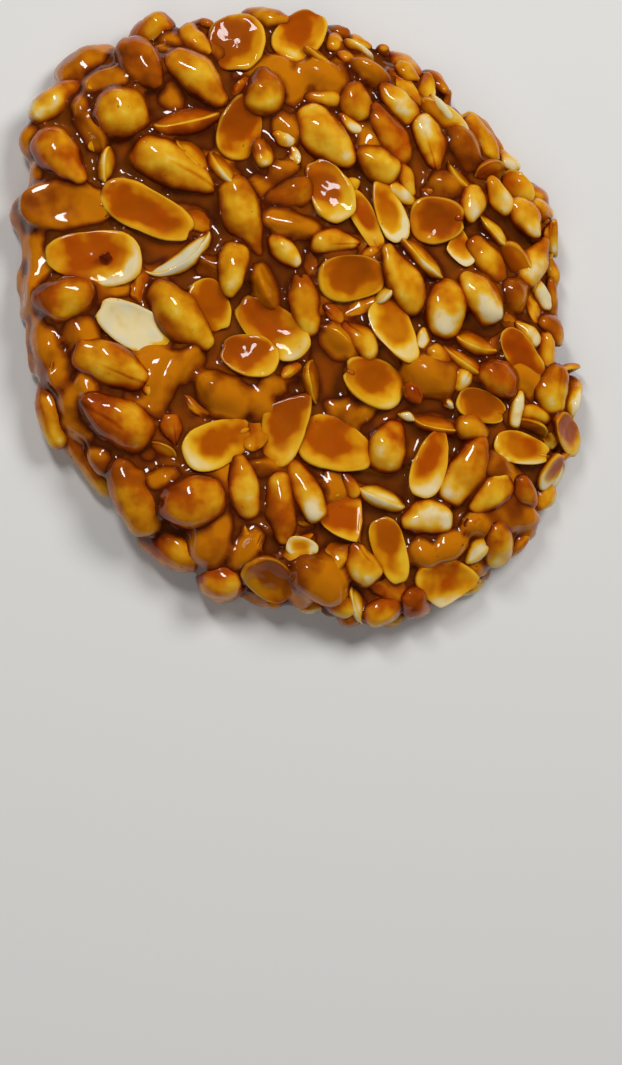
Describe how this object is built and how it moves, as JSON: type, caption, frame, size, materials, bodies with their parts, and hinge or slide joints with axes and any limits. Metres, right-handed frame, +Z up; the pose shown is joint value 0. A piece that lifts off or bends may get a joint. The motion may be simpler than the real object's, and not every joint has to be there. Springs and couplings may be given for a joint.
{
  "type": "peanut brittle",
  "caption": "Round, uneven piece of peanut brittle: whole and split peanuts set in glossy brown caramel, flat underneath.",
  "frame": {"origin": "middle of the flat base, below the middle of the piece's outline", "axes": "+Z up through the thickness, +Y along the longer side of the outline, +X to the right as seen from above"},
  "size_m": [0.1284, 0.1398, 0.0197],
  "materials": {
    "caramel": "hard, clear amber-brown caramel with a wet gloss",
    "peanut": "roasted golden peanut under a thin gloss of caramel"
  },
  "bodies": {
    "root": {"peanut_brittle": "caramel"}
  },
  "joints": []
}
